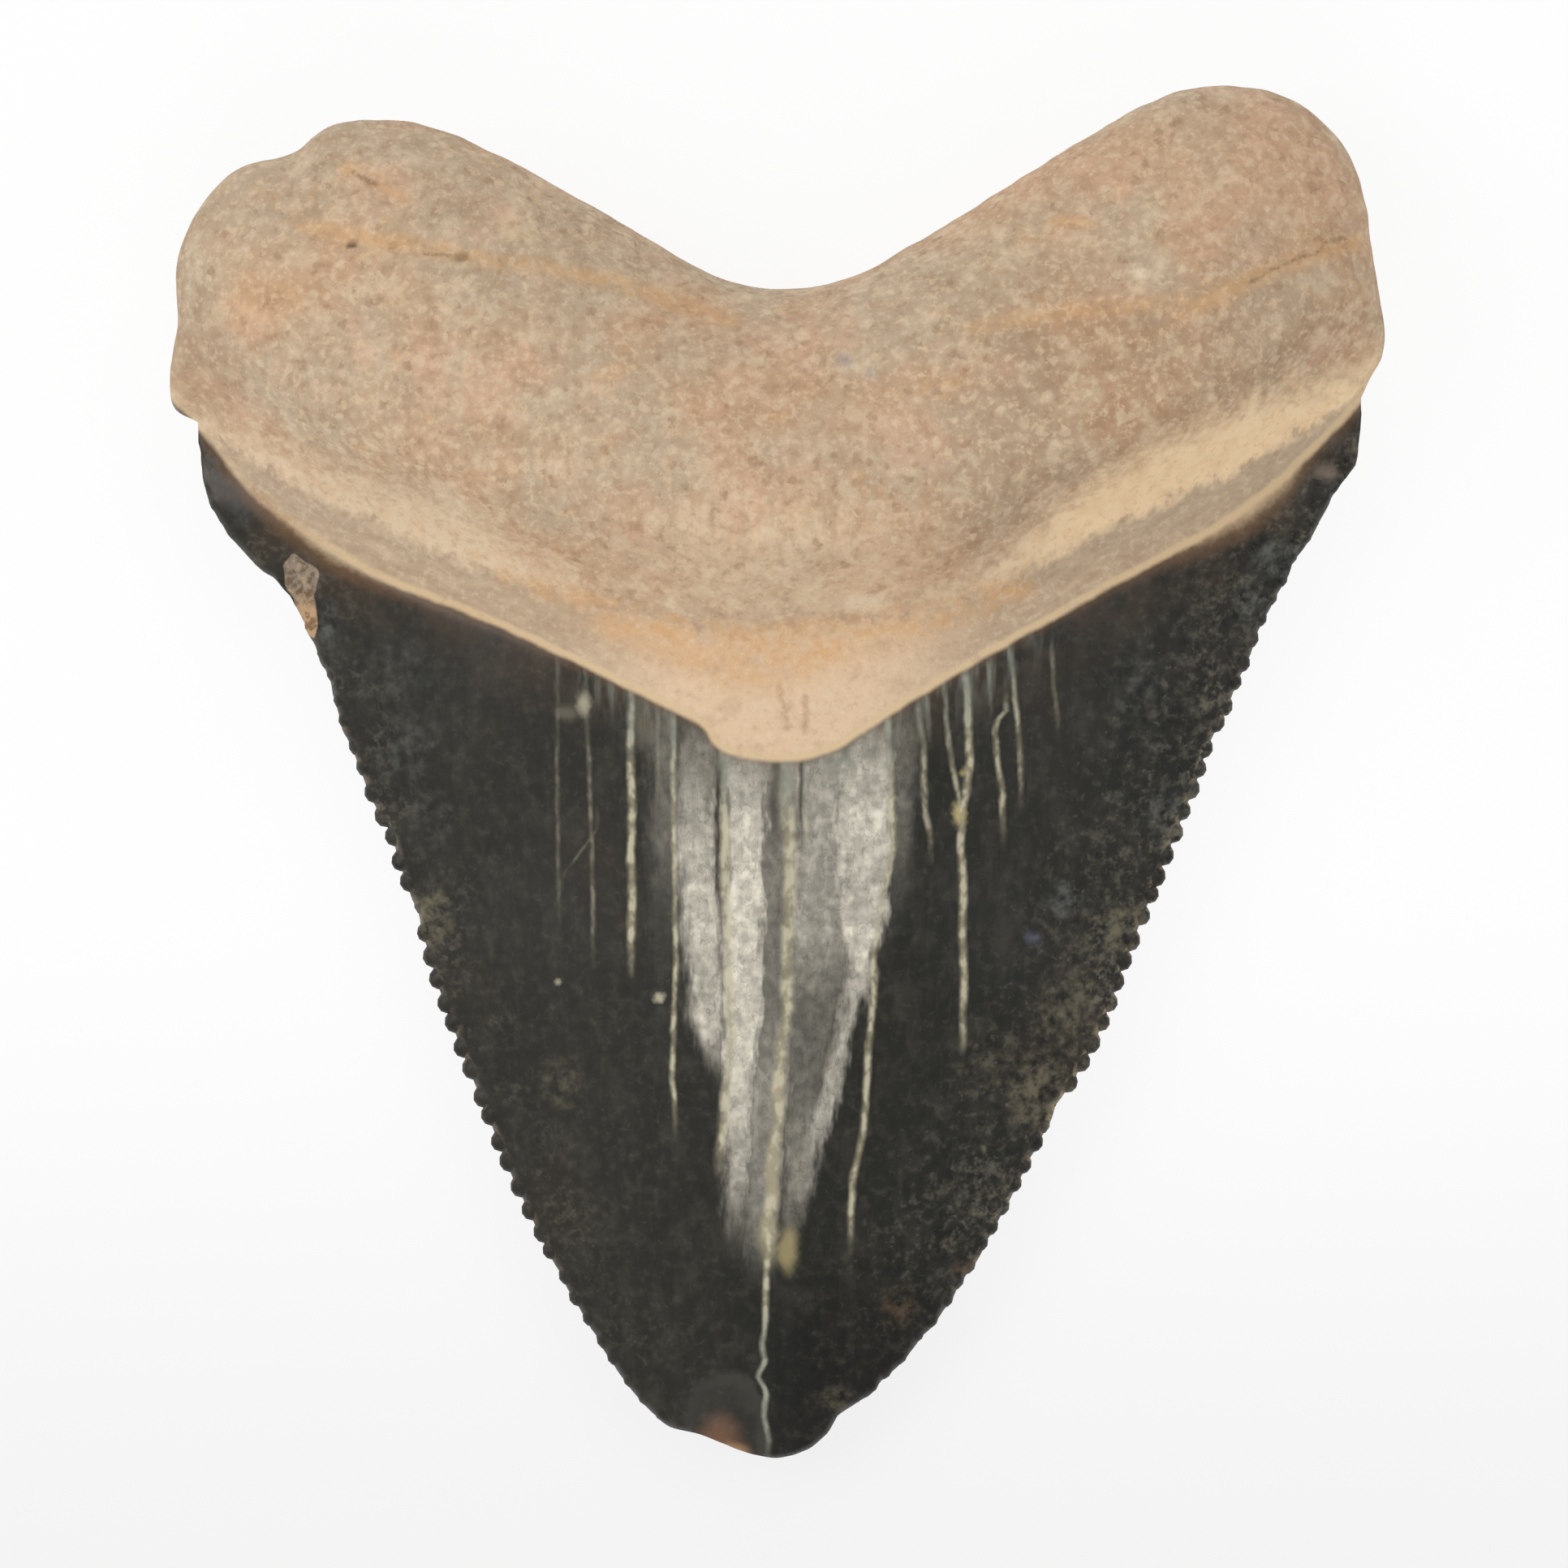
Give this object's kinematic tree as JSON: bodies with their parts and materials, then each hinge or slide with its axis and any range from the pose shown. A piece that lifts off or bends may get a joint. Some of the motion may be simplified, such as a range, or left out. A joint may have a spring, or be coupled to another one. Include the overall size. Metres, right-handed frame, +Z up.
{
  "type": "fossil megalodon tooth",
  "caption": "Fossil megalodon tooth with a tan granular root, a chevron dental band and a dark serrated enamel crown.",
  "frame": {"origin": "on the resting surface, under the middle of the tooth's width and length", "axes": "+Y from the tip towards the root's lobes, +Z up out of the lingual face, +X to the right as that face is looked at with the tip down"},
  "size_m": [0.0427, 0.0482, 0.0114],
  "materials": {
    "fossil": "matt granular root and semi-gloss dark enamel"
  },
  "bodies": {
    "root": {"tooth": "fossil"}
  },
  "joints": []
}
